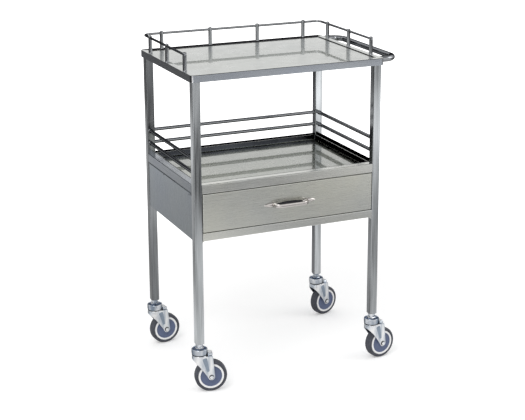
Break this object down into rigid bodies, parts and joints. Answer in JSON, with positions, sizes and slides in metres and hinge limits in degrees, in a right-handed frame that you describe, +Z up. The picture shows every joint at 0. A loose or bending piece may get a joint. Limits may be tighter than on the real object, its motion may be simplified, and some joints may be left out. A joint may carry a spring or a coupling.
{
  "type": "instrument trolley",
  "caption": "Stainless instrument trolley with a railed top deck, a railed lower shelf over a pull-out drawer, a side push handle and swivel castors.",
  "frame": {"origin": "on the floor, under the middle of the outside box with the push handle and the pull", "axes": "+Z up, the drawer opens towards -Y, +X is to the right with the push handle"},
  "size_m": [0.6328, 0.4324, 0.941],
  "materials": {
    "polished_steel": "mirror-polished stainless sheet",
    "satin_steel": "satin stainless",
    "bright_steel": "bright stainless rod",
    "zinc_plate": "bright zinc-plated pressed steel",
    "tyre_rubber": "dark grey non-marking tread",
    "hub_plastic": "blue-grey moulded wheel centre with a white ring"
  },
  "bodies": {
    "frame": {"top_deck": "polished_steel", "guard_rail": "bright_steel", "guard_post_left_1": "bright_steel", "guard_post_left_2": "bright_steel", "guard_post_left_3": "bright_steel", "guard_post_back_1": "bright_steel", "guard_post_back_2": "bright_steel", "guard_post_back_3": "bright_steel", "guard_post_back_4": "bright_steel", "guard_post_right_1": "bright_steel", "guard_post_right_2": "bright_steel", "guard_post_right_3": "bright_steel", "push_handle": "bright_steel", "leg_front_left": "satin_steel", "leg_back_left": "satin_steel", "leg_front_right": "satin_steel", "leg_back_right": "satin_steel", "shelf_rail_front": "satin_steel", "shelf_rail_back": "satin_steel", "shelf_rail_left": "satin_steel", "shelf_rail_right": "satin_steel", "shelf_tray": "polished_steel", "shelf_rod_left_lower": "bright_steel", "shelf_rod_left_upper": "bright_steel", "shelf_rod_back_lower": "bright_steel", "shelf_rod_back_upper": "bright_steel", "shelf_rod_right_lower": "bright_steel", "shelf_rod_right_upper": "bright_steel", "side_panel_left": "satin_steel", "side_panel_right": "satin_steel", "back_panel": "satin_steel", "bottom_rail_front": "satin_steel", "bottom_rail_back": "satin_steel", "drawer_runner_left": "zinc_plate", "drawer_runner_right": "zinc_plate", "castor_front_left_head": "zinc_plate", "castor_back_left_head": "zinc_plate", "castor_back_right_head": "zinc_plate", "castor_front_right_head": "zinc_plate"},
    "drawer": {"drawer_front": "satin_steel", "drawer_box": "satin_steel", "drawer_pull": "bright_steel", "drawer_slide_left": "zinc_plate", "drawer_slide_right": "zinc_plate"},
    "front_left_fork": {"castor_front_left_fork": "zinc_plate", "castor_front_left_axle": "zinc_plate"},
    "front_left_wheel": {"castor_front_left_tyre": "tyre_rubber", "castor_front_left_hub": "hub_plastic"},
    "back_left_fork": {"castor_back_left_fork": "zinc_plate", "castor_back_left_axle": "zinc_plate"},
    "back_left_wheel": {"castor_back_left_tyre": "tyre_rubber", "castor_back_left_hub": "hub_plastic"},
    "back_right_fork": {"castor_back_right_fork": "zinc_plate", "castor_back_right_axle": "zinc_plate"},
    "back_right_wheel": {"castor_back_right_tyre": "tyre_rubber", "castor_back_right_hub": "hub_plastic"},
    "front_right_fork": {"castor_front_right_fork": "zinc_plate", "castor_front_right_axle": "zinc_plate"},
    "front_right_wheel": {"castor_front_right_tyre": "tyre_rubber", "castor_front_right_hub": "hub_plastic"}
  },
  "joints": [
    {"name": "drawer_travel", "type": "slide", "parent": "frame", "child": "drawer", "axis": [0, -1, 0], "range_m": [0, 0.28]},
    {"name": "front_left_swivel", "type": "hinge", "parent": "frame", "child": "front_left_fork", "pos_m": [-0.29437, -0.17938, 0.105], "axis": [0, 0, 1], "continuous": true},
    {"name": "front_left_roll", "type": "hinge", "parent": "front_left_fork", "child": "front_left_wheel", "pos_m": [-0.26503, -0.18562, 0.045], "axis": [0.2079, 0.9781, 0], "continuous": true},
    {"name": "back_left_swivel", "type": "hinge", "parent": "frame", "child": "back_left_fork", "pos_m": [-0.29437, 0.18612, 0.105], "axis": [0, 0, 1], "continuous": true},
    {"name": "back_left_roll", "type": "hinge", "parent": "back_left_fork", "child": "back_left_wheel", "pos_m": [-0.26444, 0.18821, 0.045], "axis": [-0.0698, 0.9976, 0], "continuous": true},
    {"name": "back_right_swivel", "type": "hinge", "parent": "frame", "child": "back_right_fork", "pos_m": [0.23913, 0.18612, 0.105], "axis": [0, 0, 1], "continuous": true},
    {"name": "back_right_roll", "type": "hinge", "parent": "back_right_fork", "child": "back_right_wheel", "pos_m": [0.26824, 0.19338, 0.045], "axis": [-0.2419, 0.9703, 0], "continuous": true},
    {"name": "front_right_swivel", "type": "hinge", "parent": "frame", "child": "front_right_fork", "pos_m": [0.23913, -0.17938, 0.105], "axis": [0, 0, 1], "continuous": true},
    {"name": "front_right_roll", "type": "hinge", "parent": "front_right_fork", "child": "front_right_wheel", "pos_m": [0.26876, -0.17469, 0.045], "axis": [-0.1564, 0.9877, 0], "continuous": true}
  ]
}
